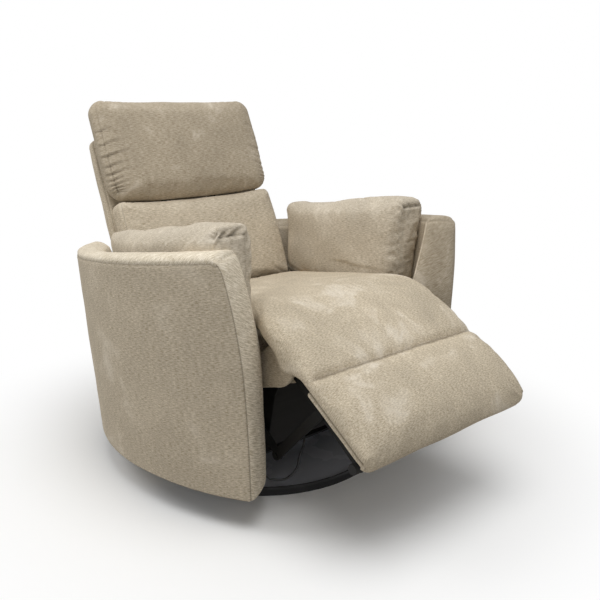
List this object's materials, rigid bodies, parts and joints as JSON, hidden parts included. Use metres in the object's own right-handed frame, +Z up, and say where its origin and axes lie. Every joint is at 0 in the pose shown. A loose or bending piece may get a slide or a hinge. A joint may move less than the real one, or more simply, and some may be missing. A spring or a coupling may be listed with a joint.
{
  "type": "glider recliner",
  "caption": "Swivel glider recliner with barrel arms, a tilting head pad, loose arm pillows, a round floor base and a chaise footrest that folds out on crank links.",
  "frame": {"origin": "centre of the round base's underside, on the floor and on the swivel axis", "axes": "+Z up, -Y the way the sitter faces, +X to the sitter's left"},
  "size_m": [1.0004, 1.202, 0.9881],
  "materials": {
    "fabric": "beige and taupe melange chenille weave",
    "black_steel": "black powder coat",
    "slate_paint": "satin slate grey paint",
    "black_plastic": "matt black moulded plastic",
    "bare_steel": "zinc plated steel",
    "black_board": "board stained black",
    "plywood": "bare plywood",
    "rubber": "black rubber"
  },
  "bodies": {
    "base": {"base_plate": "slate_paint", "base_rim": "black_plastic", "bearing_lower_race": "bare_steel", "swivel_nut": "bare_steel"},
    "turntable": {"bearing_upper_race": "bare_steel", "turntable_plate": "black_steel", "hanger_left": "black_steel", "hanger_right": "black_steel"},
    "front_links": {"glide_link_front_left": "black_steel", "glide_link_front_right": "black_steel"},
    "rear_links": {"glide_link_rear_left": "black_steel", "glide_link_rear_right": "black_steel"},
    "carriage": {"side_plate_left": "black_steel", "side_plate_right": "black_steel", "cross_tube_front": "black_steel", "cross_tube_rear": "black_steel", "front_rail": "black_board", "motor_gearbox": "black_plastic", "drive_motor": "black_steel", "seat_deck": "plywood", "front_roll": "fabric", "seat_cushion": "fabric", "seat_side_panel_left": "fabric", "seat_side_panel_right": "fabric", "side_deck_left": "plywood", "side_deck_right": "plywood", "arm_left": "fabric", "arm_right": "fabric", "arm_base_left": "black_board", "arm_base_right": "black_board", "rear_panel": "fabric", "lead": "black_plastic", "lead_gland_rail": "black_plastic", "lead_gland_arm": "black_plastic"},
    "footrest": {"footrest_board": "black_board", "leg_cushion": "fabric", "footrest_arm_left": "black_steel", "footrest_arm_right": "black_steel", "footrest_stop_left": "rubber", "footrest_stop_right": "rubber"},
    "cranks": {"ottoman_crank_left": "black_steel", "ottoman_crank_right": "black_steel", "torque_tube": "bare_steel"},
    "rails": {"ottoman_rail_left": "black_steel", "ottoman_rail_right": "black_steel"},
    "back": {"back_shell": "fabric", "lumbar_cushion": "fabric", "back_bracket_left": "black_steel", "back_bracket_right": "black_steel", "head_hinge_left": "black_steel", "head_hinge_right": "black_steel"},
    "headrest": {"head_cushion": "fabric", "head_board": "black_board"},
    "pillow_left": {"pillow_left": "fabric"},
    "pillow_right": {"pillow_right": "fabric"}
  },
  "joints": [
    {"name": "swivel", "type": "hinge", "parent": "base", "child": "turntable", "pos_m": [0, 0, 0.0303], "axis": [0, 0, 1], "continuous": true},
    {"name": "glide", "type": "hinge", "parent": "turntable", "child": "front_links", "pos_m": [0, -0.13, 0.225], "axis": [-1, 0, 0], "range_deg": [-20, 20]},
    {"name": "glide_rear", "type": "hinge", "parent": "turntable", "child": "rear_links", "pos_m": [0, 0.13, 0.225], "axis": [-1, 0, 0], "range_deg": [-20, 20]},
    {"name": "glide_carry", "type": "hinge", "parent": "front_links", "child": "carriage", "pos_m": [0, -0.13, 0.105], "axis": [-1, 0, 0], "range_deg": [-20, 20]},
    {"name": "recline", "type": "hinge", "parent": "carriage", "child": "back", "pos_m": [0, 0.25, 0.41], "axis": [-1, 0, 0], "range_deg": [-11, 27]},
    {"name": "head_tilt", "type": "hinge", "parent": "back", "child": "headrest", "pos_m": [0, 0.398, 0.72], "axis": [1, 0, 0], "range_deg": [0, 25]},
    {"name": "footrest_fold", "type": "hinge", "parent": "carriage", "child": "footrest", "pos_m": [0, -0.33, 0.42], "axis": [-1, 0, 0], "range_deg": [-57, 28]},
    {"name": "crank_turn", "type": "hinge", "parent": "carriage", "child": "cranks", "pos_m": [0, -0.17, 0.254], "axis": [-1, 0, 0], "range_deg": [-57, 28]},
    {"name": "rail_turn", "type": "hinge", "parent": "cranks", "child": "rails", "pos_m": [0, -0.32281, 0.14045], "axis": [-1, 0, 0], "range_deg": [-28, 57]},
    {"name": "lift_pillow_left", "type": "slide", "parent": "carriage", "child": "pillow_left", "axis": [0, 0, 1], "range_m": [0, 0.12]},
    {"name": "lift_pillow_right", "type": "slide", "parent": "carriage", "child": "pillow_right", "axis": [0, 0, 1], "range_m": [0, 0.12]}
  ],
  "couplings": [
    {"joint": "glide_rear", "follows": "glide", "ratio": 1},
    {"joint": "glide_carry", "follows": "glide", "ratio": -1},
    {"joint": "crank_turn", "follows": "footrest_fold", "ratio": 1},
    {"joint": "rail_turn", "follows": "footrest_fold", "ratio": -1}
  ]
}
